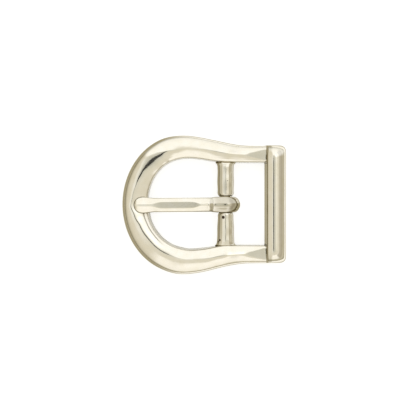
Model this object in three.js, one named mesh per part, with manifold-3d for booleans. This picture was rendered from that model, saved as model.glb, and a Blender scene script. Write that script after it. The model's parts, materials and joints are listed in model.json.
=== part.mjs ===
// A centre-bar belt buckle with a fixed keeper: a one-piece cast frame,
// and a prong hooked round the neck of its bar.
// Millimetres. +X runs from the bow to the keeper, +Y along the centre bar and +Z out of the face.
// The origin is under the middle of the buckle, in the plane that its back rests on.
import * as THREE from "three";
import { mergeVertices } from "three/addons/utils/BufferGeometryUtils.js";
import Module from "manifold-3d";

// ---------------------------------------------------------------- the belt
const strapWidth = 25;
const strapClearance = 0.5; // between the strap's two edges and the rails, in all

// ---------------------------------------------------------------- the frame in plan
const frameLength = 51.4; // from the bow's nose to the keeper's outer face
const bowWidth = 43.5; // across the widest part of the bow
const bowReach = 18.2; // from the nose to the widest part, outside
const openingReach = 13.4; // the same, inside the opening
const noseMetal = 8.25; // width of the metal at the nose
const shoulderMetal = 7.6; // width of the metal at the widest part
const outerFullness = 2.0; // superellipse exponents: 2 is an ellipse, and more is squarer
const openingFullness = 2.17;
const railMetal = 5.55; // width of each rail beside the strap
const railStraight = 2.6; // length of rail in front of the keeper that runs parallel to the strap

// ---------------------------------------------------------------- the frame in section
const frameThickness = 5.4; // from the back to the crest
const backArch = 1.5; // how far the back is raised off the table at the bar
const crestShare = 0.54; // where the crest lies, from the outer edge, as a share of the metal's width
const crestFlat = 0.3; // width of the crest itself
const padLength = 6.2; // the crest widens into a flat pad in front of the keeper, over this length
const padInset = 0.9; // between the pad and the outer edge, at the keeper
const padFlat = 3.6; // width of the pad at the keeper
const outerFall = 2.9; // height of the rounded outer side, and of the rounded inner side
const innerFall = 1.5;
const backChamfer = 0.6;

// ---------------------------------------------------------------- the keeper
const keeperDepth = 6.7; // along the strap
const keeperLip = 0.2; // how far its ends stand out past the rails
const keeperHeight = 8.2; // from the table to its ridge
const keeperShoulder = 7.4; // height of the shoulder at the top of its inner slope
const keeperSlope = 1.8; // length of that slope along the strap
const keeperRidge = 3.2; // from the inner face to the ridge
const keeperRound = 1.7; // radius of its outer edge, and of its corners in plan
const keeperHip = 4.0; // length of the hipped end
const keeperHipFall = 2.2;
const keeperPassage = 4.6; // height of the strap's way under it
const passageCorner = 1.2;

// ---------------------------------------------------------------- the centre bar
const barToKeeper = 12.1; // from the bar's axis to the keeper's inner face
const barHeight = 3.8; // of its axis, above the table
const barWidth = 5.4;
const barThickness = 4.4;
const barRound = 0.8; // radius of the two barrels' ends at the neck
const barFlare = 0.5; // how far each barrel spreads where it meets its rail
const neckDiameter = 4.0;
const neckStep = 0.2; // the least step down from the barrels to the neck

// ---------------------------------------------------------------- the prong
const prongWidth = 4.4; // of the shank
const prongTipWidth = 5.1;
const prongEyeWidth = 4.9;
const prongThickness = 2.7; // at its heel, next to the eye
const prongTipThickness = 1.8;
const prongBevel = 0.45; // height of the bevels along its edges, and their width
const prongBevelWidth = 1.1;
const eyeWall = 1.2; // over and under the neck
const knuckle = 2.5; // thickness of the eye at its back end
const eyeLength = 5.6; // from the bar's axis forward to the end of the wider eye
const eyeCorner = 1.5; // radius of the eye's back corners in plan
const heelRise = 0.5; // how far the heel stands above the eye
const valleyFall = 0.6; // how far the dip between them lies below the top of the eye
const seamHeight = 1.0; // of the seam above the neck's axis: there the hook's tail meets the shank
const seamGap = 0.35;
const boreClearance = 0.2; // radial, on the neck
const sideClearance = 0.2; // each side of the eye, on the neck

// ---------------------------------------------------------------- the seat in the bow for the prong's tip
const seatInset = 3.7; // from the nose to the seat's end
const seatDepth = 1.0; // below the crest
const seatClearance = 0.3;
const restGap = 0.1; // between the seat's floor and the prong

// ---------------------------------------------------------------- places that follow from those sizes
const noseX = -frameLength / 2;
const keeperOuterX = frameLength / 2;
const keeperInnerX = keeperOuterX - keeperDepth;
const barX = keeperInnerX - barToKeeper;
const barFrontX = barX - barWidth / 2;
const barBackX = barX + barWidth / 2;
const outerWidestX = noseX + bowReach;
const openingNoseX = noseX + noseMetal;
const openingWidestX = openingNoseX + openingReach;
const openingHalf = bowWidth / 2 - shoulderMetal;
const railInner = (strapWidth + strapClearance) / 2;
const railOuter = railInner + railMetal;
const railStraightX = keeperInnerX - railStraight;
const padStartX = keeperInnerX - padLength;
const keeperHalf = railOuter + keeperLip;
const seatFloor = frameThickness - seatDepth;
const tipX = noseX + seatInset + seatClearance;
const neckRadius = neckDiameter / 2;
const barrelThickness = Math.max(barThickness, neckDiameter + 2 * neckStep);
const neckHalf = prongEyeWidth / 2 + sideClearance;
const boreRadius = neckRadius + boreClearance;

// Curve steps: enough for smooth motion and collision, few enough to stay light.
const BOW_STEPS = 16;
const RAIL_STEPS = 16;
const INNER_STEPS = 4;
const OUTER_STEPS = 5;
const ROUND_STEPS = 6;
const LATHE_STEPS = 28;
const EMBED = 1.0; // how far one part of the casting reaches into the next, so that they fuse
const OVER = 2.0; // how far a cutting or limiting shape reaches past what it cuts

const { clamp, lerp, smoothstep } = THREE.MathUtils;
const wasm = await Module();
wasm.setup();

// ---------------------------------------------------------------- from three.js geometry to solids and back
function solid(geometry) {
  const bare = geometry.clone();
  bare.deleteAttribute("normal");
  bare.deleteAttribute("uv");
  const merged = mergeVertices(bare, 1e-4);
  return new wasm.Manifold(
    new wasm.Mesh({
      numProp: 3,
      vertProperties: merged.attributes.position.array,
      triVerts: new Uint32Array(merged.index.array),
    }),
  );
}

function mesh(name, shape, material) {
  const made = shape.getMesh();
  const geometry = new THREE.BufferGeometry();
  geometry.setAttribute("position", new THREE.BufferAttribute(made.vertProperties, 3));
  geometry.setIndex(new THREE.BufferAttribute(made.triVerts, 1));
  geometry.computeVertexNormals();
  const node = new THREE.Mesh(geometry, material);
  node.name = name;
  return node;
}

// ---------------------------------------------------------------- outlines swept straight along one axis
const X = new THREE.Vector3(1, 0, 0);
const Y = new THREE.Vector3(0, 1, 0);
const Z = new THREE.Vector3(0, 0, 1);
const ALONG_X = new THREE.Matrix4().makeBasis(Y, Z, X); // the outline is drawn in y, z
const ALONG_Y = new THREE.Matrix4().makeBasis(Z, X, Y); // in z, x
const ALONG_Z = new THREE.Matrix4(); // in x, y

function sweep(outline, turn, from, to, bevelHeight = 0, bevelWidth = 0) {
  const geometry = new THREE.ExtrudeGeometry(outline, {
    depth: to - from - 2 * bevelWidth,
    bevelEnabled: bevelWidth > 0,
    bevelSegments: 1,
    bevelSize: bevelHeight,
    bevelOffset: -bevelHeight,
    bevelThickness: bevelWidth,
    curveSegments: ROUND_STEPS,
  });
  return solid(geometry.translate(0, 0, from + bevelWidth).applyMatrix4(turn));
}

// ---------------------------------------------------------------- a solid through a row of alike sections
function loft(sections) {
  const across = sections[0].length;
  const positions = sections.flat().flatMap((p) => [p.x, p.y, p.z]);
  const faces = [];
  for (let s = 0; s + 1 < sections.length; s += 1) {
    for (let k = 0; k < across; k += 1) {
      const a = s * across + k;
      const b = s * across + ((k + 1) % across);
      faces.push(a, b, a + across, b, b + across, a + across);
    }
  }
  const last = (sections.length - 1) * across;
  for (let k = 1; k + 1 < across; k += 1) {
    faces.push(0, k + 1, k, last, last + k, last + k + 1);
  }
  const geometry = new THREE.BufferGeometry();
  geometry.setAttribute("position", new THREE.Float32BufferAttribute(positions, 3));
  geometry.setIndex(faces);
  return solid(geometry);
}

// ---------------------------------------------------------------- bow and rails
// The back lies on the table at the nose and under the keeper, and arches up between them at the bar.
function backHeight(x) {
  const front = smoothstep(x, openingNoseX, barFrontX);
  const behind = smoothstep(x, barBackX, keeperInnerX);
  return backArch * (front - behind);
}

// The section from the inner edge to the outer edge. The crest widens into a pad near the keeper.
function frameSection(inner, outer) {
  const width = inner.distanceTo(outer);
  const x = (inner.x + outer.x) / 2;
  const widening = clamp((x - padStartX) / padLength, 0, 1);
  const back = backHeight(x);
  const crest = back + frameThickness;
  const crestOuter = width - lerp(crestShare * width, padInset, widening);
  const crestInner = crestOuter - lerp(crestFlat, padFlat, widening);
  const profile = [[backChamfer, back], [0, back + backChamfer]];
  for (let i = 0; i <= INNER_STEPS; i += 1) {
    const a = (i / INNER_STEPS) * (Math.PI / 2);
    profile.push([crestInner * (1 - Math.cos(a)), crest - innerFall * (1 - Math.sin(a))]);
  }
  for (let i = 0; i <= OUTER_STEPS; i += 1) {
    const a = (i / OUTER_STEPS) * (Math.PI / 2);
    profile.push([lerp(crestOuter, width, Math.sin(a)), crest - outerFall * (1 - Math.cos(a))]);
  }
  profile.push([width, back + backChamfer], [width - backChamfer, back]);
  const across = outer.clone().sub(inner).divideScalar(width);
  return profile.map(([u, z]) => new THREE.Vector3(inner.x + across.x * u, inner.y + across.y * u, z));
}

// Half of the plan, from the nose to inside the keeper: pairs of an inner and an outer point.
function halfPlan() {
  const pairs = [];
  const round = (value, fullness) => value ** (2 / fullness);
  for (let i = 0; i < BOW_STEPS; i += 1) {
    const a = (i / BOW_STEPS) * (Math.PI / 2);
    const inner = new THREE.Vector2(
      openingWidestX - openingReach * round(Math.cos(a), openingFullness),
      openingHalf * round(Math.sin(a), openingFullness),
    );
    const outer = new THREE.Vector2(
      outerWidestX - bowReach * round(Math.cos(a), outerFullness),
      (bowWidth / 2) * round(Math.sin(a), outerFullness),
    );
    pairs.push([inner, outer]);
  }
  for (let i = 0; i <= RAIL_STEPS; i += 1) {
    const t = i / RAIL_STEPS;
    const innerX = lerp(openingWidestX, keeperInnerX, t);
    const outerX = lerp(outerWidestX, keeperInnerX, t);
    const innerY = lerp(openingHalf, railInner, smoothstep(innerX, openingWidestX, barFrontX));
    const outerY = lerp(bowWidth / 2, railOuter, smoothstep(outerX, outerWidestX, railStraightX));
    pairs.push([new THREE.Vector2(innerX, innerY), new THREE.Vector2(outerX, outerY)]);
  }
  const embedX = keeperInnerX + EMBED;
  pairs.push([new THREE.Vector2(embedX, railInner), new THREE.Vector2(embedX, railOuter)]);
  return pairs;
}

function bowAndRails() {
  const upper = halfPlan();
  const mirror = (p) => new THREE.Vector2(p.x, -p.y);
  const lower = upper.slice(1).map((pair) => pair.map(mirror));
  const round = [...upper.reverse(), ...lower];
  return loft(round.map(([inner, outer]) => frameSection(inner, outer)));
}

// ---------------------------------------------------------------- keeper
// It is what three outlines share: its section, its plan, and its front view
// with the hipped ends and the strap's way.
function keeper() {
  const section = new THREE.Shape();
  section.moveTo(0, keeperInnerX);
  section.lineTo(0, keeperOuterX);
  section.lineTo(keeperShoulder - keeperRound, keeperOuterX);
  section.absarc(
    keeperShoulder - keeperRound, keeperOuterX - keeperRound, keeperRound, Math.PI / 2, 0, true,
  );
  section.lineTo(keeperHeight, keeperInnerX + keeperRidge);
  section.lineTo(keeperShoulder, keeperInnerX + keeperSlope);
  section.lineTo(frameThickness, keeperInnerX);

  const front = new THREE.Shape();
  const hipFoot = keeperHeight - keeperHipFall;
  front.moveTo(-keeperHalf, 0);
  front.lineTo(-railInner, 0);
  front.lineTo(-railInner, keeperPassage - passageCorner);
  front.absarc(
    passageCorner - railInner, keeperPassage - passageCorner, passageCorner, Math.PI, Math.PI / 2, true,
  );
  front.absarc(
    railInner - passageCorner, keeperPassage - passageCorner, passageCorner, Math.PI / 2, 0, true,
  );
  front.lineTo(railInner, 0);
  front.lineTo(keeperHalf, 0);
  front.lineTo(keeperHalf, hipFoot);
  front.quadraticCurveTo(keeperHalf, keeperHeight, keeperHalf - keeperHip, keeperHeight);
  front.lineTo(keeperHip - keeperHalf, keeperHeight);
  front.quadraticCurveTo(-keeperHalf, keeperHeight, -keeperHalf, hipFoot);

  const plan = new THREE.Shape();
  const cornerX = keeperOuterX - keeperRound;
  const cornerY = keeperHalf - keeperRound;
  plan.moveTo(keeperInnerX, -keeperHalf);
  plan.lineTo(cornerX, -keeperHalf);
  plan.absarc(cornerX, -cornerY, keeperRound, -Math.PI / 2, 0, false);
  plan.absarc(cornerX, cornerY, keeperRound, 0, Math.PI / 2, false);
  plan.lineTo(keeperInnerX, keeperHalf);

  return sweep(section, ALONG_Y, -keeperHalf, keeperHalf)
    .intersect(sweep(front, ALONG_X, keeperInnerX - OVER, keeperOuterX + OVER))
    .intersect(sweep(plan, ALONG_Z, -OVER, keeperHeight + OVER));
}

// ---------------------------------------------------------------- centre bar
// A barrel from each rail to the neck, flatter than it is wide, and the round neck that the prong turns on.
function turned(profile, flatness) {
  const geometry = new THREE.LatheGeometry(profile, LATHE_STEPS);
  return solid(geometry.scale(1, 1, flatness).translate(barX, 0, barHeight));
}

function centreBar() {
  const barrelEnd = neckHalf + barRound;
  const outside = barWidth / 2;
  const barrel = [new THREE.Vector2(0, neckHalf)];
  for (let i = 0; i <= ROUND_STEPS; i += 1) {
    const a = (i / ROUND_STEPS) * (Math.PI / 2);
    const r = outside - barRound * (1 - Math.sin(a));
    barrel.push(new THREE.Vector2(r, barrelEnd - barRound * Math.cos(a)));
  }
  for (let i = 0; i <= 3; i += 1) {
    const spread = (i / 3) * (Math.PI / 2);
    const y = railInner - 2 * barFlare + 2 * barFlare * Math.sin(spread);
    barrel.push(new THREE.Vector2(outside + barFlare * (1 - Math.cos(spread)), y));
  }
  barrel.push(new THREE.Vector2(outside + barFlare, railInner + EMBED));
  barrel.push(new THREE.Vector2(0, railInner + EMBED));
  const upper = turned(barrel, barrelThickness / barWidth);
  const neck = turned(
    [[0, -barrelEnd], [neckRadius, -barrelEnd], [neckRadius, barrelEnd], [0, barrelEnd]]
      .map(([r, y]) => new THREE.Vector2(r, y)),
    1,
  );
  return upper.add(upper.mirror([0, 1, 0])).add(neck);
}

// ---------------------------------------------------------------- outline of the seat and of the prong's tip
// A slot with one round end.
function roundEnded(endX, width, toX) {
  const outline = new THREE.Shape();
  outline.moveTo(toX, width / 2);
  outline.lineTo(endX + width / 2, width / 2);
  outline.absarc(endX + width / 2, 0, width / 2, Math.PI / 2, (3 * Math.PI) / 2, false);
  outline.lineTo(toX, -width / 2);
  return outline;
}

function frame() {
  const seatWidth = prongTipWidth + 2 * seatClearance;
  const outline = roundEnded(tipX - seatClearance, seatWidth, openingNoseX + OVER);
  const seat = sweep(outline, ALONG_Z, seatFloor, frameThickness + OVER);
  return bowAndRails().add(keeper()).add(centreBar()).subtract(seat);
}

// ---------------------------------------------------------------- prong
// It is what its side view and its plan share, less the bore for the neck and the seam of the closed hook.
function prong() {
  const floor = seatFloor + restGap;
  const eyeHalfHeight = boreRadius + eyeWall;
  const eyeTop = barHeight + eyeHalfHeight;
  const eyeFoot = barHeight - eyeHalfHeight;
  const eyeReach = boreRadius + knuckle;
  const eyeFrontX = barX - eyeHalfHeight;
  const tipTop = floor + prongTipThickness;
  const tipRound = prongTipThickness / 2;
  const restEndX = openingNoseX + 1.0;
  const heelX = barX - eyeLength;
  const heelTop = eyeTop + heelRise;
  const heelFoot = heelTop - prongThickness;
  const seam = barHeight + seamHeight;

  const side = new THREE.Shape(); // drawn in z, x
  side.moveTo(floor + tipRound, tipX);
  side.quadraticCurveTo(floor, tipX, floor, tipX + tipRound);
  side.lineTo(floor, restEndX);
  side.lineTo(heelFoot, heelX);
  side.quadraticCurveTo(heelFoot, eyeFrontX, seam, eyeFrontX);
  side.quadraticCurveTo(eyeFoot, eyeFrontX, eyeFoot, barX);
  side.absellipse(barHeight, barX, eyeHalfHeight, eyeReach, Math.PI, 0, true);
  side.quadraticCurveTo(eyeTop, barX - eyeHalfHeight / 2, eyeTop - valleyFall, eyeFrontX);
  side.quadraticCurveTo(heelTop, heelX + 1.0, heelTop, heelX);
  side.lineTo(tipTop + 0.3, restEndX);
  side.quadraticCurveTo(tipTop, tipX, floor + tipRound, tipX);

  const half = prongWidth / 2;
  const tipHalf = prongTipWidth / 2;
  const eyeHalf = prongEyeWidth / 2;
  const eyeBackX = barX + eyeReach;
  const plan = roundEnded(tipX, prongTipWidth, tipX + tipHalf);
  plan.lineTo(restEndX + tipHalf, -half);
  plan.lineTo(heelX, -half);
  plan.lineTo(eyeFrontX, -eyeHalf);
  plan.lineTo(eyeBackX - eyeCorner, -eyeHalf);
  plan.absarc(eyeBackX - eyeCorner, eyeCorner - eyeHalf, eyeCorner, -Math.PI / 2, 0, false);
  plan.absarc(eyeBackX - eyeCorner, eyeHalf - eyeCorner, eyeCorner, 0, Math.PI / 2, false);
  plan.lineTo(eyeFrontX, eyeHalf);
  plan.lineTo(heelX, half);
  plan.lineTo(restEndX + tipHalf, half);

  const widest = Math.max(tipHalf, eyeHalf);
  const through = widest + OVER;
  const bore = turned(
    [[0, -through], [boreRadius, -through], [boreRadius, through], [0, through]]
      .map(([r, y]) => new THREE.Vector2(r, y)),
    1,
  );
  const slit = new THREE.Shape(); // drawn in z, x
  slit.moveTo(seam, barX);
  slit.lineTo(seam, eyeFrontX - OVER);
  slit.lineTo(seam - seamGap, eyeFrontX - OVER);
  slit.lineTo(seam - seamGap, barX);

  return sweep(side, ALONG_Y, -widest, widest, prongBevel, prongBevelWidth)
    .intersect(sweep(plan, ALONG_Z, -OVER, heelTop + OVER))
    .subtract(bore)
    .subtract(sweep(slit, ALONG_Y, -through, through));
}

// ---------------------------------------------------------------- finish and assembly
const nickelPlate = new THREE.MeshStandardMaterial({ color: 0xd8d2bd, metalness: 1, roughness: 0.12 });

const buckle = new THREE.Group();
buckle.add(mesh("frame", frame(), nickelPlate));
buckle.add(mesh("prong", prong(), nickelPlate));

export default buckle;
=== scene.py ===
"""A belt buckle with a centre bar and a fixed keeper: a nickel-plated frame, and the prong on its bar."""

import json
import math

import bmesh
import bpy
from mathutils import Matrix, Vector


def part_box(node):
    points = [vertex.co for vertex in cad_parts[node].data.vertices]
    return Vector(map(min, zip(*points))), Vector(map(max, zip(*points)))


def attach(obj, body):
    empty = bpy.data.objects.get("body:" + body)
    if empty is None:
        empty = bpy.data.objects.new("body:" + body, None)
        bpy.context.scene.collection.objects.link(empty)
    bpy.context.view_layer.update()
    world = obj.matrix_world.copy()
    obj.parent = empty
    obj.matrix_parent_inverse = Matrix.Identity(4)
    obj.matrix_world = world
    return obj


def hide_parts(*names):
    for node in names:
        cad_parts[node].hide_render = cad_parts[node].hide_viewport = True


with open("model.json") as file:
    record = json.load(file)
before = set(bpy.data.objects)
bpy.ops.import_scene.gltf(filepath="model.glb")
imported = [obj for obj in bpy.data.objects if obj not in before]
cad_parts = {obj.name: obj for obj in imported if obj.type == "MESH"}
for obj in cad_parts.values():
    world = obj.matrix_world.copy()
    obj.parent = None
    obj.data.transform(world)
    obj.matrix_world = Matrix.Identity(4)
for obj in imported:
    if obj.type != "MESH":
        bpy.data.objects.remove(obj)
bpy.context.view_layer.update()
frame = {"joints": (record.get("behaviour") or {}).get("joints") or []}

MM = 0.001

# ------------------------------------------------------------------ the frame casting: bow and rails
# One zinc die casting: the rounded bow and the two rails beside the strap, domed in front and flat behind.
# It is tumbled, polished on a soft wheel and nickel plated, which rounds every edge a little.
# Its section is set at each station along the bow and extruded to the next. Sizes are in mm.
frame_low, frame_high = (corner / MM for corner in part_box("frame"))
prong_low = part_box("prong")[0] / MM
hinge = frame["joints"][0]
BAR_X = hinge["pos_m"][0] / MM
BAR_Z = hinge["pos_m"][2] / MM

BOW_WIDTH = frame_high.y - frame_low.y
NOSE_POLISH = 0.23
BOW_REACH = 18.7
OPENING_REACH = 13.4
OPENING_FULLNESS = 2.17
NOSE_METAL = 8.25
SHOULDER_METAL = 7.6
RAIL_METAL = 5.55
RAIL_INTO_KEEPER = 1.5
SLOT_HALF = 12.75
WAIST_TO_KEEPER = 4.6
BAR_SHOULDER = 2.7
KEEPER_DEPTH = 6.7
FRAME_THICKNESS = 5.4
BACK_ARCH = 1.5
CREST_RISE_FROM = 4.6
PAD_LENGTH = 6.2
PAD_FALL = 0.48

NOSE_X = frame_low.x + NOSE_POLISH
KEEPER_X = frame_high.x - KEEPER_DEPTH
OPENING_NOSE_X = NOSE_X + NOSE_METAL
OPENING_WIDEST_X = OPENING_NOSE_X + OPENING_REACH
OUTER_WIDEST_X = NOSE_X + BOW_REACH


def smooth(value, low, high):
    t = min(max((value - low) / (high - low), 0.0), 1.0)
    return t * t * (3 - 2 * t)


def mix(a, b, t):
    return a + (b - a) * t


def extruded_through(name, rings):
    """A circle set to the first ring and extruded through the others in turn, with both ends filled."""
    count = len(rings[0])
    bpy.ops.object.select_all(action="DESELECT")
    bpy.ops.mesh.primitive_circle_add(vertices=count, radius=rings[0][0].length, fill_type="NOTHING")
    piece = bpy.context.object
    piece.name = piece.data.name = name
    bpy.ops.object.mode_set(mode="EDIT")
    bpy.ops.mesh.select_mode(type="VERT")
    mesh = bmesh.from_edit_mesh(piece.data)
    mesh.verts.ensure_lookup_table()
    place = {}
    for i, point in enumerate(rings[0]):
        mesh.verts[i].co = point
        place[i] = i
    bpy.ops.mesh.select_all(action="SELECT")
    bpy.ops.mesh.edge_face_add()
    for ring in rings[1:]:
        bpy.ops.mesh.extrude_region_move(TRANSFORM_OT_translate={"value": (0, 0, MM)})
        mesh = bmesh.from_edit_mesh(piece.data)
        mesh.verts.index_update()
        new = [v for v in mesh.verts if v.select]
        found = {}
        for v in new:
            for e in v.link_edges:
                old = e.other_vert(v)
                if not old.select:
                    found[v.index] = place[old.index]
        for v in new:
            v.co = ring[found[v.index]]
        place = found
    bpy.ops.mesh.select_all(action="SELECT")
    bpy.ops.mesh.normals_make_consistent(inside=False)
    bpy.ops.object.mode_set(mode="OBJECT")
    return piece


def plan_pairs():
    """Half of the plan, from the nose into the keeper, as pairs of points on the inner and outer edges."""
    pairs = []
    bow_steps = 40
    for i in range(bow_steps):
        a = i / bow_steps * math.pi / 2
        fuller = 2 / OPENING_FULLNESS
        inner = Vector((
            OPENING_WIDEST_X - OPENING_REACH * math.cos(a) ** fuller,
            (BOW_WIDTH / 2 - SHOULDER_METAL) * math.sin(a) ** fuller,
        ))
        outer = Vector((OUTER_WIDEST_X - BOW_REACH * math.cos(a), BOW_WIDTH / 2 * math.sin(a)))
        pairs.append((inner, outer))
    rail_steps = 30
    for i in range(rail_steps + 1):
        inner_x = mix(OPENING_WIDEST_X, KEEPER_X + RAIL_INTO_KEEPER, i / rail_steps)
        outer_x = mix(OUTER_WIDEST_X, KEEPER_X + RAIL_INTO_KEEPER, i / rail_steps)
        inner_waist = smooth(inner_x, OPENING_WIDEST_X, BAR_X - BAR_SHOULDER)
        outer_waist = smooth(outer_x, OUTER_WIDEST_X, KEEPER_X - WAIST_TO_KEEPER)
        inner_y = mix(BOW_WIDTH / 2 - SHOULDER_METAL, SLOT_HALF, inner_waist)
        outer_y = mix(BOW_WIDTH / 2, SLOT_HALF + RAIL_METAL, outer_waist)
        pairs.append((Vector((inner_x, inner_y)), Vector((outer_x, outer_y))))
    return pairs


def ground_off(x):
    """How much more was ground off the outer edge on the +Y side than on the -Y side: most on the bow."""
    off_bow = 0.24 * smooth(x, -14.5, -7.0)
    left_on_rail = 0.12 * smooth(x, 0.0, 6.0)
    return off_bow - left_on_rail


def eased(points, rounds):
    """Evens out the curvature along a row of points, whose ends stay."""
    for _ in range(rounds):
        middle = [(a + 2 * b + c) / 4 for a, b, c in zip(points, points[1:], points[2:])]
        points = [points[0], *middle, points[-1]]
    return points


def between(keys, place):
    """The value at place of a row of (place, value) keys, easing from each key to the next."""
    for (p0, v0), (p1, v1) in zip(keys, keys[1:]):
        if place <= p1:
            return mix(v0, v1, smooth(place, p0, p1))
    return keys[-1][1]


def side_of_crest(run, half, first, last, edge, flatness=0.0, step=0.0):
    """One side of a crest as (distance from it, height): its round half, a slope and a round edge.

    Flatness, from 0 to 1, makes the round half a flat one. A step, from 0 to 1, is a fine steep line ground
    along the slope near its end. The slope's first and last tilts are in degrees.
    """
    points = [(0.0, 0.0)]

    def go(to, tilt):
        x, z = points[-1]
        points.append((to, z - (to - x) * math.tan(math.radians(tilt))))

    for i in range(1, 5):
        go(half * i / 4, mix(first * (i - 0.5) / 4, 1.0, flatness))
    body = run - half - edge
    line_share = 0.7
    line_width = 0.2
    line_tilt = 52
    line = half + body * line_share
    for i in range(1, 8):
        go(mix(half, line, i / 7), mix(first, last, line_share * (i - 0.5) / 7))
    ground = min(line_width, body * 0.15)
    go(line + ground * 0.2, mix(last * 0.75, 40, step))
    go(line + ground * 0.8, mix(last * 0.75, line_tilt, step))
    go(line + ground, mix(last * 0.8, 30, step))
    for i in range(1, 4):
        go(mix(line + ground, half + body, i / 3), mix(first, last, 0.75 + 0.25 * i / 3))
    x, z = points[-1]
    start = math.radians(last)
    radius = edge / (1 - math.sin(start))
    for i in range(1, 9):
        tilt = mix(start, math.pi / 2, i / 8)
        out = radius * (math.sin(tilt) - math.sin(start))
        down = radius * (math.cos(start) - math.cos(tilt))
        points.append((x + out, z - down))
    return points


def back_height(x):
    front = smooth(x, OPENING_NOSE_X, BAR_X - BAR_SHOULDER)
    behind = smooth(x, BAR_X + BAR_SHOULDER, KEEPER_X)
    return BACK_ARCH * (front - behind)


def face_height(x):
    """The crest's height: it follows the arched back, and falls towards the keeper in one ground plane."""
    front = BACK_ARCH * smooth(x, OPENING_NOSE_X + CREST_RISE_FROM, BAR_X - BAR_SHOULDER)
    start = KEEPER_X - PAD_LENGTH
    fall = (BACK_ARCH - PAD_FALL) * smooth(x, BAR_X - 1.0, start + 1.0)
    return FRAME_THICKNESS + front - fall - PAD_FALL * max(x - start, 0.0) / PAD_LENGTH


# Along the frame from the rail on the -Y side (0) round the nose (0.5) to the rail on the +Y side (1): where
# the crest lies and how wide its round is, as shares of the metal's width; how far the inner wall leans into
# the opening, how much the opening was filed out and how wide the outer edge's round is, in mm; and where a
# step was ground inside. The frame was ground and polished by hand, so all of them wander.
CREST_PLACE = (
    (0.0, 0.5), (0.057, 0.48), (0.14, 0.45), (0.2, 0.39), (0.27, 0.37), (0.36, 0.39), (0.43, 0.44),
    (0.465, 0.55), (0.495, 0.66), (0.525, 0.6), (0.56, 0.555), (0.65, 0.54), (0.7, 0.46), (0.745, 0.4),
    (0.79, 0.42), (0.84, 0.47), (0.9, 0.44), (0.95, 0.45), (1.0, 0.45),
)
CREST_ROUND = (
    (0.0, 0.04), (0.25, 0.03), (0.3, 0.09), (0.42, 0.1), (0.485, 0.07), (0.5, 0.02), (0.55, 0.03),
    (0.6, 0.2), (0.65, 0.6), (0.685, 0.4), (0.708, 0.1), (0.722, 0.03), (1.0, 0.03),
)
INNER_LEAN = ((0.0, 0.2), (0.12, 0.2), (0.2, 0.5), (0.46, 0.55), (0.52, 0.25), (0.8, 0.25), (1.0, 0.2))
INNER_FILED = (
    (0.0, 0.15), (0.12, 0.1), (0.165, 0.6), (0.21, 0.3), (0.26, 0.1), (0.37, 0.05), (0.45, 0.3), (0.5, 0.3),
    (0.56, 0.35), (0.7, 0.6), (0.79, 0.4), (0.836, 0.6), (0.9, 0.35), (1.0, 0.3),
)
OUTER_EDGE = ((0.0, 0.8), (0.2, 1.0), (0.36, 1.45), (0.66, 1.45), (0.8, 1.0), (1.0, 0.8))
INNER_STEP = ((0.0, 0.0), (0.3, 0.0), (0.36, 1.0), (0.48, 1.0), (0.5, 0.0), (1.0, 0.0))

PAD_CREST = 0.46
PAD_HALF = 0.32
PAD_EDGE = 0.8
OUTER_ROUND = 0.62
BACK_EDGE = ((0.6, 0.0), (0.3, 0.08), (0.08, 0.3), (0.0, 0.6))


def frame_ring(along, inner, outer):
    """The frame's section between a point on its inner edge and one on its outer edge.

    It turns into a flat pad in front of the keeper.
    """
    outer = outer - Vector((0, ground_off(outer.x)))
    across = (outer - inner).normalized()
    inner = inner + across * between(INNER_FILED, along)
    width = (outer - inner).length
    lean = between(INNER_LEAN, along)
    x = (inner.x + outer.x) / 2
    back = back_height(x)
    top = face_height(x)
    pad = min(max((x - (KEEPER_X - PAD_LENGTH)) / PAD_LENGTH, 0.0), 1.0)
    crest = mix(between(CREST_PLACE, along) * width, width * PAD_CREST, pad)
    half_round = mix(between(CREST_ROUND, along) * width / 2, width * PAD_HALF, pad)
    flatness = smooth(pad, 0.0, 0.25)
    outer_half = half_round * mix(OUTER_ROUND, 1.0, flatness)
    inner_side = side_of_crest(
        crest, half_round, first=9, last=19, edge=0.42, flatness=flatness, step=between(INNER_STEP, along),
    )
    outer_side = side_of_crest(
        width - crest, outer_half, first=8, last=27, edge=mix(between(OUTER_EDGE, along), PAD_EDGE, pad),
        flatness=flatness,
    )
    face = [(crest - d, z) for d, z in reversed(inner_side)] + [(crest + d, z) for d, z in outer_side[1:]]
    section = [(u - lean, back + z) for u, z in BACK_EDGE]
    section += [(u, top + z) for u, z in face]
    section += [(width - u, back + z) for u, z in reversed(BACK_EDGE)]
    section.append((width / 2, back))
    return [Vector((inner.x + across.x * u, inner.y + across.y * u, z)) * MM for u, z in section]


EDGE_EASING = 10
half = plan_pairs()
whole = [(Vector((i.x, -i.y)), Vector((o.x, -o.y))) for i, o in reversed(half[1:])] + half
inner_edge = eased([pair[0] for pair in whole], EDGE_EASING)
outer_edge = eased([pair[1] for pair in whole], EDGE_EASING)
last = len(whole) - 1
bow = extruded_through(
    "cast_frame", [frame_ring(n / last, i, o) for n, (i, o) in enumerate(zip(inner_edge, outer_edge))],
)

# ------------------------------------------------------------------ the frame casting: keeper
# The raised bar that the strap's end passes under, domed, with hipped ends and a leg on each rail.
# It is cast in one with the rails, and its ridge is polished a little round.
KEEPER_HALF = SLOT_HALF + RAIL_METAL + 0.03
KEEPER_TOP = frame_high.z - 0.3
KEEPER_WAY = 4.6
KEEPER_CREST = 2.8
KEEPER_LEAN = 0.6
KEEPER_HIP = 4.0
KEEPER_HIP_FALL = 2.4
KEEPER_CORNER = 1.7
KEEPER_FILLET = 1.2
KEEPER_CHAMFER = 0.15
KEEPER_RIDGE = 0.38
KEEPER_INNER_RIDGE = 0.36


def quarter(share):
    """How far a quarter circle of radius 1 has fallen at a share of its run."""
    return 1 - math.sqrt(max(1 - share * share, 0.0))


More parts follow.
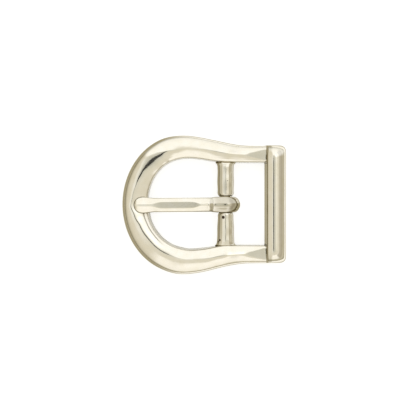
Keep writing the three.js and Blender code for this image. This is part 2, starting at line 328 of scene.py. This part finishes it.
def keeper_ring(y):
    end = max(abs(y) - (KEEPER_HALF - KEEPER_HIP), 0.0) / KEEPER_HIP
    corner = max(abs(y) - (KEEPER_HALF - KEEPER_CORNER), 0.0) / KEEPER_CORNER
    top = KEEPER_TOP - KEEPER_HIP_FALL * quarter(end)
    depth = KEEPER_DEPTH - KEEPER_CORNER * quarter(corner)
    foot = mix(KEEPER_WAY, 0.0, smooth(abs(y), SLOT_HALF - 0.15, SLOT_HALF + 0.02))
    near = max(SLOT_HALF - abs(y), 0.0)
    if 0 < near < KEEPER_FILLET:
        foot = KEEPER_WAY - KEEPER_FILLET * quarter((KEEPER_FILLET - near) / KEEPER_FILLET)
    crest = KEEPER_CREST * depth / KEEPER_DEPTH
    inner_side = side_of_crest(
        crest - KEEPER_LEAN, KEEPER_INNER_RIDGE, first=17, last=26, edge=0.6, flatness=0.5,
    )
    outer_side = side_of_crest(depth - crest, KEEPER_RIDGE, first=4, last=34, edge=0.8)
    face = [(crest - d, z) for d, z in reversed(inner_side)] + [(crest + d, z) for d, z in outer_side[1:]]
    section = [(KEEPER_CHAMFER, foot), (0.0, foot + KEEPER_CHAMFER)]
    section += [(u, top + z) for u, z in face]
    section += [(depth, foot + KEEPER_CHAMFER), (depth - KEEPER_CHAMFER, foot)]
    return [Vector((KEEPER_X + u, y, z)) * MM for u, z in section]


def keeper_stations():
    """Places along the keeper, closer together where its corners, hips and fillets curve."""
    ends = [KEEPER_HALF - KEEPER_CORNER * (1 - math.sin(i / 10 * math.pi / 2)) for i in range(11)]
    hip_step = 0.38
    hip = [KEEPER_HALF - KEEPER_HIP + i * hip_step for i in range(6)]
    arch = [SLOT_HALF - KEEPER_FILLET * math.cos(i / 8 * math.pi / 2) for i in range(9)]
    half_row = sorted({round(v, 4) for v in [0.0, 4.0, 8.0, SLOT_HALF + 0.05, *arch, *hip, *ends]})
    return [-v for v in reversed(half_row[1:])] + half_row


keeper = extruded_through("keeper", [keeper_ring(y) for y in keeper_stations()])

# ------------------------------------------------------------------ the frame casting: centre bar
# Two barrels with soft facets left by the file, and a round neck between them for the prong.
# They are cast in one with the rails, and flare a little where they meet them.
BAR_THICKNESS = 4.4
NECK_RADIUS = 2.0
NECK_HALF = 2.65
BARREL_HALF = 2.48
NARROW_BARREL_HALF = 2.35
WIDE_BARREL_HALF = 2.66
SHOULDER_ROUND = 0.9
RAIL_FILLET = 1.2
RAIL_FLARE = 0.6
SWELL = 0.04
KEEN_EDGE = 900
WORN_EDGE = 160


def bar_ring(y, wide, thick):
    """A section of the bar: round at the neck, with soft facets along the barrels that turn a little with y.

    The facets meet in a keen edge, but for one rounder stretch of the barrel on the -Y side.
    """
    lean = 2 * math.sin(y * 0.9) + (1 if y < 0 else -3)
    facets = (100 + lean, 79 + lean, 53 + 3 * math.sin(y * 1.3), 22, -15, -60, -110, -160, 152, 127)
    ground = smooth(abs(y), NECK_HALF, NECK_HALF + 1.0)
    keen = mix(KEEN_EDGE, WORN_EDGE, smooth(y, -9.4, -8.4) * smooth(-y, 5.2, 6.2))
    steps = 96
    ring = []
    for i in range(steps):
        turn = i / steps * 2 * math.pi
        reach = sum(max(math.cos(turn - math.radians(f)), 0.0) ** keen for f in facets) ** (-1 / keen)
        reach = mix(1.0, min(reach, 1.03), ground)
        x = BAR_X + wide * reach * math.cos(turn)
        z = BAR_Z + thick * reach * math.sin(turn)
        ring.append(Vector((x, y, z)) * MM)
    return ring


def barrel_half(side, y):
    """Half a barrel's width. The one on the -Y side widens towards its rail."""
    if side > 0:
        return BARREL_HALF
    return mix(NARROW_BARREL_HALF, WIDE_BARREL_HALF, (y - NECK_HALF) / (SLOT_HALF - NECK_HALF))


def barrel(side):
    """One barrel's sections from the neck to inside its rail, as (y, half width, half thickness)."""
    rows = [(NECK_HALF - 0.1, NECK_RADIUS, NECK_RADIUS)]
    for i in range(7):
        a = i / 6 * math.pi / 2
        y = NECK_HALF + SHOULDER_ROUND * (1 - math.cos(a))
        wide = mix(NECK_RADIUS + 0.1, barrel_half(side, y), math.sin(a))
        thick = mix(NECK_RADIUS + 0.05, BAR_THICKNESS / 2, math.sin(a))
        rows.append((y, wide, thick))
    for i in range(1, 13):
        y = mix(NECK_HALF + SHOULDER_ROUND, SLOT_HALF - RAIL_FILLET, i / 12)
        swell = SWELL * math.sin(y * 1.1)
        rows.append((y, barrel_half(side, y) + swell, BAR_THICKNESS / 2 + swell))
    for i in range(1, 6):
        a = i / 5 * math.pi / 2
        flare = RAIL_FLARE * (1 - math.cos(a))
        y = SLOT_HALF - RAIL_FILLET + RAIL_FILLET * math.sin(a)
        rows.append((y, barrel_half(side, y) + flare, BAR_THICKNESS / 2 + flare * 0.2 - i * 0.06))
    rows.append((SLOT_HALF + 1.2, barrel_half(side, SLOT_HALF) + 0.3, BAR_THICKNESS / 2 - 0.9))
    return [(side * y, wide, thick) for y, wide, thick in rows]


bar = extruded_through("bar", [bar_ring(*station) for station in [*reversed(barrel(-1)), *barrel(1)]])


def join_solid(piece, other):
    """Melts other into piece, as they are cast in one."""
    bpy.ops.object.select_all(action="DESELECT")
    bpy.context.view_layer.objects.active = piece
    piece.select_set(True)
    union = piece.modifiers.new("union", "BOOLEAN")
    union.operation = "UNION"
    union.solver = "EXACT"
    union.object = other
    bpy.ops.object.modifier_apply(modifier=union.name)
    bpy.data.objects.remove(other)


join_solid(bow, bar)
join_solid(bow, keeper)


def cut_solid(piece, other):
    bpy.ops.object.select_all(action="DESELECT")
    bpy.context.view_layer.objects.active = piece
    piece.select_set(True)
    cut = piece.modifiers.new("cut", "BOOLEAN")
    cut.operation = "DIFFERENCE"
    cut.solver = "EXACT"
    cut.object = other
    bpy.ops.object.modifier_apply(modifier=cut.name)
    bpy.data.objects.remove(other)


def shade(piece, degrees):
    bpy.ops.object.select_all(action="DESELECT")
    bpy.context.view_layer.objects.active = piece
    piece.select_set(True)
    bpy.ops.object.shade_smooth_by_angle(angle=math.radians(degrees))


def pit(x, y, z, radius):
    """A small round pit left in the casting, which plating and polishing didn't fill."""
    bpy.ops.object.select_all(action="DESELECT")
    centre = Vector((x, y, z)) * MM
    bpy.ops.mesh.primitive_ico_sphere_add(subdivisions=3, radius=radius * MM, location=centre)
    ball = bpy.context.object
    bpy.ops.object.transform_apply(location=True)
    cut_solid(bow, ball)


# The pits, as centre and radius: four on the barrels and one on the bow.
PITS = (
    (6.1, -4.1, 6.0, 0.46),
    (5.0, -11.2, 5.5, 0.34),
    (4.45, -11.7, 4.9, 0.28),
    (7.5, 7.3, 6.1, 0.16),
    (-11.3, 16.1, 5.75, 0.22),
)
for place in PITS:
    pit(*place)

# The seat for the prong's tip, pressed into the inner half of the nose. Like the tip it is a little to -Y.
TIP_X = prong_low.x
TIP_WIDTH = 5.1
TIP_GAP = 0.03
SEAT_FLOOR = FRAME_THICKNESS - 1.0
SEAT_OFF = 0.3
SEAT_RUN = 3.0
SEAT_EASE = 0.1
SEAT_FLARE = 0.35
OVER_FACE = 9.0


def seat_ring(z, grow):
    r = TIP_WIDTH / 2 + TIP_GAP + grow
    ring = []
    for i in range(17):
        a = math.pi / 2 + i / 16 * math.pi
        ring.append(Vector((TIP_X + TIP_WIDTH / 2 + r * math.cos(a), r * math.sin(a) - SEAT_OFF, z)) * MM)
    ring.append(Vector((OPENING_NOSE_X + SEAT_RUN, -r - SEAT_OFF, z)) * MM)
    ring.append(Vector((OPENING_NOSE_X + SEAT_RUN, r - SEAT_OFF, z)) * MM)
    return ring


seat = extruded_through("seat", [
    seat_ring(SEAT_FLOOR, -SEAT_EASE),
    seat_ring(SEAT_FLOOR + SEAT_EASE, 0.0),
    seat_ring(OVER_FACE, SEAT_FLARE),
])
cut_solid(bow, seat)
shade(bow, 35)


def linear(code):
    """An sRGB colour such as "d9d0b8" as the linear values that a shader takes."""
    values = [int(code[i:i + 2], 16) / 255 for i in (0, 2, 4)]
    return (*(v / 12.92 if v <= 0.04045 else ((v + 0.055) / 1.055) ** 2.4 for v in values), 1.0)


def node(tree, kind, links=(), **settings):
    """Adds a node. Settings named in_N go to its input N, others to the node. Links are (input, source)."""
    made = tree.nodes.new(kind)
    for key, value in settings.items():
        if key.startswith("in_"):
            name = key[3:]
            made.inputs[int(name) if name.isdigit() else name].default_value = value
        else:
            setattr(made, key, value)
    for target, source in links:
        tree.links.new(made.inputs[target], source)
    return made


# The marks of the polishing wheel are a few hundredths of a mm apart, too fine to show from here, so they are
# drawn coarser. The soft waves and the cloudy changes of colour are some mm across. All are in mm.
MARK_WIDTH = 0.41667
MARK_LENGTH = 7.6923
WAVE = 4.1667
CLOUD = 2.381

# The grime thins out between these shares of a pit's radius.
GRIME_STARTS = 1.03
GRIME_ENDS = 1.2


def nickel(name, bright, painted_shade_colour, painted_shade_way, hook_painted_shade, grimy_pits, round_the_bow):
    """Bright nickel: warm and mirror-like, with shade painted into its colour, olive and darker.

    The painted shade lies on slopes that face the given way, on all steep walls and on the prong's hook. It
    is a little cloudy, with fine marks along the metal and soft waves in what it reflects. The pits hold
    brown grime.
    """
    made = bpy.data.materials.new(name)
    made.use_nodes = True
    tree = made.node_tree
    tree.nodes.clear()
    where = node(tree, "ShaderNodeTexCoord")
    split = node(tree, "ShaderNodeSeparateXYZ", [(0, where.outputs["Object"])])
    x_place, y_place = split.outputs["X"], split.outputs["Y"]

    # The marks run round the bow and along the rails, and along the bar and the keeper from side to side.
    if round_the_bow:
        bow_centre = -7.5 * MM
        slot_side = (SLOT_HALF - 0.15) * MM
        bar_front = (BAR_X - 3.9) * MM
        keeper_front = (KEEPER_X + 0.3) * MM
        ahead = node(tree, "ShaderNodeMath", [(0, x_place)], operation="SUBTRACT", in_1=bow_centre)
        ahead = node(tree, "ShaderNodeMath", [(0, ahead.outputs[0])], operation="MINIMUM", in_1=0.0)
        plan = node(tree, "ShaderNodeCombineXYZ", [(0, ahead.outputs[0]), (1, y_place)])
        ring = node(tree, "ShaderNodeVectorMath", [(0, plan.outputs[0])], operation="LENGTH")
        ring = ring.outputs["Value"]
        in_slot = node(tree, "ShaderNodeMath", [(0, ring)], operation="LESS_THAN", in_1=slot_side)
        at_bar = node(tree, "ShaderNodeMath", [(0, x_place)], operation="GREATER_THAN", in_1=bar_front)
        at_keeper = node(tree, "ShaderNodeMath", [(0, x_place)], operation="GREATER_THAN",
                         in_1=keeper_front)
        on_bar = node(tree, "ShaderNodeMath", [(0, in_slot.outputs[0]), (1, at_bar.outputs[0])],
                      operation="MULTIPLY")
        crosswise = node(tree, "ShaderNodeMath", [(0, on_bar.outputs[0]), (1, at_keeper.outputs[0])],
                         operation="MAXIMUM").outputs[0]
        lane = node(tree, "ShaderNodeMix", [(0, crosswise), (2, ring), (3, x_place)],
                    data_type="FLOAT").outputs[0]
        run = node(tree, "ShaderNodeMix", [(0, crosswise), (2, x_place), (3, y_place)],
                   data_type="FLOAT").outputs[0]
    else:
        lane, run = y_place, x_place
    across = node(tree, "ShaderNodeMath", [(0, lane)], operation="MULTIPLY", in_1=1 / (MARK_WIDTH * MM))
    down = node(tree, "ShaderNodeMath", [(0, run)], operation="MULTIPLY", in_1=1 / (MARK_LENGTH * MM))
    grain = node(tree, "ShaderNodeCombineXYZ", [(0, across.outputs[0]), (1, down.outputs[0])])
    hair = node(tree, "ShaderNodeTexNoise", [("Vector", grain.outputs[0])],
                in_Scale=1.0, in_Detail=3.0, in_Roughness=0.6)
    rough = node(tree, "ShaderNodeMapRange", [(0, hair.outputs["Fac"])],
                 in_1=0.3, in_2=0.75, in_3=0.05, in_4=0.13)

    # Where shade is painted into the plate's colour: from 0, bright, to 1.
    facing = node(tree, "ShaderNodeSeparateXYZ", [(0, where.outputs["Normal"])])
    flank = node(tree, "ShaderNodeMapRange", [(0, facing.outputs["Z"])], interpolation_type="SMOOTHSTEP",
                 in_1=0.93, in_2=0.62, in_3=0.0, in_4=1.0)
    turned = node(tree, "ShaderNodeVectorMath", [(0, where.outputs["Normal"])], operation="DOT_PRODUCT",
                  in_1=painted_shade_way)
    facing_painted_shade = node(tree, "ShaderNodeMapRange", [(0, turned.outputs["Value"])],
                           interpolation_type="SMOOTHSTEP", in_1=-0.05, in_2=0.4, in_3=0.05, in_4=1.0)
    steep = node(tree, "ShaderNodeMapRange", [(0, facing.outputs["Z"])], interpolation_type="SMOOTHSTEP",
                 in_1=0.62, in_2=0.3, in_3=0.0, in_4=0.85)
    step_top = 2.2 * MM
    hook_side = 4.5 * MM
    hook = node(tree, "ShaderNodeMapRange", [(0, x_place)], interpolation_type="SMOOTHSTEP",
                in_1=step_top, in_2=hook_side, in_3=0.0, in_4=hook_painted_shade)
    painted_shade_mask = node(tree, "ShaderNodeMath", [(0, flank.outputs[0]), (1, facing_painted_shade.outputs[0])],
                operation="MULTIPLY")
    painted_shade_mask = node(tree, "ShaderNodeMath", [(0, painted_shade_mask.outputs[0]), (1, steep.outputs[0])], operation="MAXIMUM")
    painted_shade_mask = node(tree, "ShaderNodeMath", [(0, painted_shade_mask.outputs[0]), (1, hook.outputs[0])], operation="MAXIMUM")

    # Its colour head on and at a glancing angle, both painted darker where the painted shade lies, and the
    # waves and marks in its surface.
    colour = node(tree, "ShaderNodeMix", [(0, painted_shade_mask.outputs[0])], data_type="RGBA",
                  in_6=linear(bright), in_7=linear(painted_shade_colour))
    cloud = node(tree, "ShaderNodeTexNoise", [("Vector", where.outputs["Object"])],
                 in_Scale=1 / (CLOUD * MM), in_Detail=3.0)
    tint = node(tree, "ShaderNodeMix", [(0, cloud.outputs["Fac"]), (6, colour.outputs[2])], data_type="RGBA",
                blend_type="MULTIPLY", in_7=linear("f4f1e4"))
    edge = node(tree, "ShaderNodeMix", [(0, painted_shade_mask.outputs[0])], data_type="RGBA",
                in_6=linear("ffffff"), in_7=linear("eeece2"))
    wave = node(tree, "ShaderNodeTexNoise", [("Vector", where.outputs["Object"])],
                in_Scale=1 / (WAVE * MM), in_Detail=1.0)
    soft = node(tree, "ShaderNodeBump", [("Height", wave.outputs["Fac"])],
                in_Strength=0.3, in_Distance=0.06 * MM)
    fine = node(tree, "ShaderNodeBump", [("Height", hair.outputs["Fac"]), ("Normal", soft.outputs[0])],
                in_Strength=0.7, in_Distance=0.01 * MM)
    face = node(tree, "ShaderNodeBsdfPrincipled", [
        ("Base Color", tint.outputs[2]), ("Roughness", rough.outputs[0]), ("Normal", fine.outputs[0]),
        ("Specular Tint", edge.outputs[2]),
    ], in_Metallic=1.0)
    if grimy_pits:
        grime = None
        for x, y, z, radius in grimy_pits:
            away = node(tree, "ShaderNodeVectorMath", [(0, where.outputs["Object"])], operation="DISTANCE",
                        in_1=Vector((x, y, z)) * MM)
            held = node(tree, "ShaderNodeMapRange", [(0, away.outputs["Value"])],
                        in_1=radius * GRIME_ENDS * MM, in_2=radius * GRIME_STARTS * MM, in_3=0.0, in_4=1.0)
            if grime is None:
                grime = held.outputs[0]
            else:
                grime = node(tree, "ShaderNodeMath", [(0, grime), (1, held.outputs[0])],
                             operation="MAXIMUM").outputs[0]
        dirty = node(tree, "ShaderNodeMix", [(0, grime), (6, tint.outputs[2])], data_type="RGBA",
                     in_7=linear("463222"))
        matt = node(tree, "ShaderNodeMix", [(0, grime), (2, rough.outputs[0])], data_type="FLOAT", in_3=0.7)
        bare = node(tree, "ShaderNodeMath", [(1, grime)], operation="SUBTRACT", in_0=1.0)
        tree.links.new(face.inputs["Base Color"], dirty.outputs[2])
        tree.links.new(face.inputs["Roughness"], matt.outputs[0])
        tree.links.new(face.inputs["Metallic"], bare.outputs[0])
    node(tree, "ShaderNodeOutputMaterial", [(0, face.outputs[0])])
    return made


# The frame's colour has shade painted in: olive and darker on slopes that face -X and on steep walls.
bow.data.materials.clear()
bow.data.materials.append(nickel(
    "polished nickel plate on a zinc casting", bright="f1ede5", painted_shade_colour="978e74", painted_shade_way=(-0.99, 0.08, 0.0),
    hook_painted_shade=0.0, grimy_pits=PITS, round_the_bow=True,
))
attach(bow, "frame")
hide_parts("frame")

# ------------------------------------------------------------------ the prong
# A cast tongue with bevelled sides and a flat top, hooked round the neck of the bar and closed.
# It is plated like the frame, and turns on the neck. Shade is painted onto its hook, which is darker than the
# shank.
EYE_HALF = 2.45
SHANK_HALF = 2.2
HOOK_BORE = 2.25
HOOK_TOP = 3.4
HOOK_BACK = 4.7
HOOK_FLAT = 0.42
HOOK_BULGE = 2.5
PLAY_AT_HOOK = 0.14
PLAY_AT_TIP = 0.32


def play(x):
    """The hook is a little loose on the neck, so that the prong lies towards the -Y side, its tip most."""
    return mix(PLAY_AT_HOOK, PLAY_AT_TIP, smooth(-x, -BAR_X, -TIP_X))


def tongue_ring(points, half_width, flat, drop, crown=0.0, roundness=0.0):
    """One section of the prong, about its middle line from bottom to top, given as two (x, z) points.

    Its top is bevelled from the sides up to a flat of the given half width, or rounded where roundness is 1.
    """
    (x0, z0), (x1, z1) = points
    h = math.hypot(x1 - x0, z1 - z0)
    dx, dz = (x1 - x0) / h, (z1 - z0) / h
    straight_side = h - drop
    outline = [(half_width * 0.35, 0.0), (half_width * 0.8, 0.0)]
    outline.append((half_width, min(0.12 * h, 0.35 * straight_side)))
    outline.append((half_width, min(0.38 * h, 0.8 * straight_side)))
    for i in range(5):
        a = i / 5 * math.pi / 2
        straight = (mix(half_width, flat, i / 4), h - drop * (1 - i / 4))
        bowed = (half_width * math.cos(a), h - drop * (1 - math.sin(a)))
        outline.append((mix(straight[0], bowed[0], roundness), mix(straight[1], bowed[1], roundness)))
    outline.append((flat * 0.45, h + crown))
    outline += [(-y, r) for y, r in reversed(outline)]
    return [Vector((x0 + dx * r, y - play(x0), z0 + dz * r)) * MM for y, r in outline]


# The top's middle line from the tip to the hook, as (x, z): it rises to a step in front of the eye.
PRONG_TOP = (
    (-21.67, 5.4), (-21.5, 5.7), (-21.2, 5.88), (-20.6, 6.0), (-15.6, 6.58), (-13.9, 6.70), (-1.1, 7.32),
    (1.4, 7.72), (1.9, 7.66), (2.5, 7.3), (3.0, 6.9), (3.5, 6.7),
)
STEP_START = 0.9
STEP_END = 2.2
STEP_CROWN = 0.16
TIP_RUN = 1.5
TIP_LIFT = 0.5


def along_line(knots, place):
    for (p0, v0), (p1, v1) in zip(knots, knots[1:]):
        if place <= p1:
            return mix(v0, v1, (place - p0) / (p1 - p0))
    return knots[-1][1]


def shank_ring(x):
    """The shank's section at x: a narrow ridge near its ends, and a wide flat ground between them."""
    d = x - TIP_X
    r = TIP_WIDTH / 2
    half_width = math.sqrt(max(r * r - max(r - d, 0.0) ** 2, 0.01))
    if d > r:
        half_width = mix(r, SHANK_HALF, smooth(x, TIP_X + r, OPENING_NOSE_X + 2))
    half_width = mix(half_width, EYE_HALF, smooth(x, BAR_X - 4.6, BAR_X - 3.2))
    floor = mix(4.5, 5.0, smooth(x, OPENING_NOSE_X, BAR_X - 5.6))
    tip = max(TIP_RUN - d, 0.0) / TIP_RUN
    floor += TIP_LIFT * quarter(tip)
    top = along_line(PRONG_TOP, x)
    on_step = smooth(x, STEP_START, STEP_END)
    ground = smooth(x, -16.6, -13.4) * smooth(-x, 1.4, 3.0)
    flat = half_width * mix(mix(0.14, 0.46, ground), 0.4, on_step)
    drop = mix(0.35, mix(0.8, 0.5, ground), 1 - tip)
    roundness = 0.5 * smooth(x, STEP_START, 3)
    return tongue_ring([(x, floor), (x, top)], half_width, flat, drop, STEP_CROWN * on_step, roundness)


def eye_ring(degrees):
    """The hook's section at an angle round the neck, from +X. It is longest and roundest at its back."""
    a = math.radians(degrees)
    c, s = math.cos(a), math.sin(a)
    outer = 1 / math.hypot(c / HOOK_BACK, s / HOOK_TOP) if c > 0 else HOOK_TOP
    if degrees > 90:
        outer += HOOK_BULGE * abs(c) ** 3
    back = max(c, 0.0) ** 2
    return tongue_ring(
        [(BAR_X + HOOK_BORE * c, BAR_Z + HOOK_BORE * s), (BAR_X + outer * c, BAR_Z + outer * s)],
        EYE_HALF, EYE_HALF * HOOK_FLAT,
        drop=mix(0.55, 2.0, back), crown=mix(STEP_CROWN, 0.05, back), roundness=mix(0.5, 1.0, back),
    )


shank_x = [TIP_X + 0.03, *(x for x, _ in PRONG_TOP[1:4]), -19.4, -18.0, -16.6, -15.6, -14.8, -13.9, -13.0]
shank_x += [-9.0, -5.0, -3.3, -2.4, -1.1, -0.2, 1.1, 1.4, 1.8, 2.3, 2.8, 3.3]
eye_turns = [124, 108, *range(90, -171, -20), -188, -192]
rings = [shank_ring(x) for x in shank_x] + [eye_ring(turn) for turn in eye_turns]
prong = extruded_through("prong_tongue", rings)
rounder = prong.modifiers.new("rounder", "SUBSURF")
rounder.levels = rounder.render_levels = 2
bpy.ops.object.select_all(action="DESELECT")
bpy.context.view_layer.objects.active = prong
prong.select_set(True)
bpy.ops.object.modifier_apply(modifier=rounder.name)
shade(prong, 60)
# The prong's colour has shade painted in: olive and darker on slopes that face +X and -Y, on steep walls and
# on its hook.
prong.data.materials.clear()
prong.data.materials.append(nickel(
    "polished nickel plate on a zinc prong", bright="f1ede5", painted_shade_colour="958c72", painted_shade_way=(0.5, -0.85, 0.0),
    hook_painted_shade=0.4, grimy_pits=(), round_the_bow=False,
))
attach(prong, "prong")
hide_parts("prong")

# ------------------------------------------------------------------ the light table
# A sheet of opal acrylic lit from below as well as from above, so that a small bright part stands on white.
# It lies just under the buckle, and isn't a part of it.
bpy.ops.object.select_all(action="DESELECT")
TABLE_SIZE = 3.0
TABLE_GAP = 0.05
bpy.ops.mesh.primitive_plane_add(size=TABLE_SIZE, location=(0, 0, (frame_low.z - TABLE_GAP) * MM))
table = bpy.context.object
table.name = "table"
# Matt and evenly white, with only a trace of shadow.
board = bpy.data.materials.new("opal acrylic")
board.use_nodes = True
opal = board.node_tree.nodes["Principled BSDF"]
opal.inputs["Base Color"].default_value = linear("b4b4b4")
opal.inputs["Roughness"].default_value = 0.9
opal.inputs["Emission Color"].default_value = linear("ffffff")
opal.inputs["Emission Strength"].default_value = 0.78
table.data.materials.append(board)

# ------------------------------------------------------------------ light and camera
# A white cloth tent round the table, lit from outside and brightest on the +Y side.
# It is greyer straight above, where the camera looks in, and darker at the foot.
world = bpy.data.worlds.new("light tent")
bpy.context.scene.world = world
world.use_nodes = True
tent = world.node_tree
tent.nodes.clear()
sky = node(tent, "ShaderNodeTexCoord")
heights = node(tent, "ShaderNodeSeparateXYZ", [(0, sky.outputs["Generated"])])
dome = node(tent, "ShaderNodeValToRGB", [(0, heights.outputs["Z"])])
# The cloth's colour from the foot (0) to straight above (1).
TENT_STEPS = (
    (0.0, (0.42, 0.39, 0.29)),
    (0.25, (0.56, 0.53, 0.42)),
    (0.45, (0.74, 0.70, 0.58)),
    (0.75, (0.84, 0.80, 0.69)),
    (0.93, (0.84, 0.81, 0.71)),
    (0.972, (0.76, 0.75, 0.67)),
    (0.99, (0.66, 0.66, 0.60)),
    (1.0, (0.62, 0.62, 0.57)),
)
for number, (place, tone) in enumerate(TENT_STEPS):
    step = dome.color_ramp.elements[number] if number < 2 else dome.color_ramp.elements.new(place)
    step.position = place
    step.color = (*tone, 1.0)
flat_way = node(tent, "ShaderNodeVectorMath", [(0, sky.outputs["Generated"])], operation="MULTIPLY",
                in_1=(1, 1, 0))
flat_way = node(tent, "ShaderNodeVectorMath", [(0, flat_way.outputs[0])], operation="NORMALIZE")


def panel(turn, spread, low, high, soft, colour, before, blend="ADD"):
    """A soft panel in the tent, turned from +X by degrees and between two heights: brighter or darker."""
    way = (math.cos(math.radians(turn)), math.sin(math.radians(turn)), 0)
    outside = math.cos(math.radians(spread + 14))
    inside = math.cos(math.radians(spread - 6))
    facing = node(tent, "ShaderNodeVectorMath", [(0, flat_way.outputs[0])], operation="DOT_PRODUCT",
                  in_1=way)
    sides = node(tent, "ShaderNodeMapRange", [(0, facing.outputs["Value"])], interpolation_type="SMOOTHSTEP",
                 in_1=outside, in_2=inside, in_3=0.0, in_4=1.0)
    foot = node(tent, "ShaderNodeMapRange", [(0, heights.outputs["Z"])], interpolation_type="SMOOTHSTEP",
                in_1=low - soft, in_2=low + soft, in_3=0.0, in_4=1.0)
    top = node(tent, "ShaderNodeMapRange", [(0, heights.outputs["Z"])], interpolation_type="SMOOTHSTEP",
               in_1=high - soft * 0.4, in_2=high + soft * 0.4, in_3=1.0, in_4=0.0)
    band = node(tent, "ShaderNodeMath", [(0, foot.outputs[0]), (1, top.outputs[0])], operation="MULTIPLY")
    area = node(tent, "ShaderNodeMath", [(0, band.outputs[0]), (1, sides.outputs[0])], operation="MULTIPLY")
    mixed = node(tent, "ShaderNodeMix", [(0, area.outputs[0]), (6, before)], data_type="RGBA",
                 blend_type=blend, in_7=(*colour, 1.0))
    return mixed.outputs[2]


lit = panel(75, 52, 0.05, 0.955, 0.06, (0.37, 0.41, 0.50), dome.outputs["Color"])
lit = panel(272, 32, 0.45, 0.86, 0.06, (0.34, 0.36, 0.42), lit)
lit = panel(180, 32, 0.85, 0.975, 0.05, (0.13, 0.15, 0.19), lit)
lit = panel(26, 26, 0.89, 0.968, 0.02, (0.2, 0.21, 0.22), lit)
lit = panel(0, 50, 0.42, 0.78, 0.06, (0.26, 0.26, 0.24), lit, "SUBTRACT")
tent_light = node(tent, "ShaderNodeBackground", [(0, lit)])
node(tent, "ShaderNodeOutputWorld", [(0, tent_light.outputs[0])])

# A long lens straight above, with the black front of the camera round it, which the polished crests reflect.
lens = bpy.data.cameras.new("camera")
LONG_LENS = 166
lens.lens = LONG_LENS
camera = bpy.data.objects.new("camera", lens)
AIM = Vector((1.4, -1.2, 3.0)) * MM
CAMERA_HEIGHT = 0.6
camera.location = AIM + Vector((0, 0, CAMERA_HEIGHT))
bpy.context.scene.collection.objects.link(camera)
bpy.context.scene.camera = camera

bpy.ops.object.select_all(action="DESELECT")
CAMERA_FRONT = 0.055
LENS_LENGTH = 0.02
behind_lens = camera.location + Vector((0, 0, LENS_LENGTH))
bpy.ops.mesh.primitive_circle_add(radius=CAMERA_FRONT, fill_type="NGON", location=behind_lens)
card = bpy.context.object
card.name = "camera_front"
black = bpy.data.materials.new("black camera front")
black.use_nodes = True
black.node_tree.nodes["Principled BSDF"].inputs["Base Color"].default_value = linear("101010")
card.data.materials.append(black)

bpy.context.scene.view_settings.view_transform = "Standard"
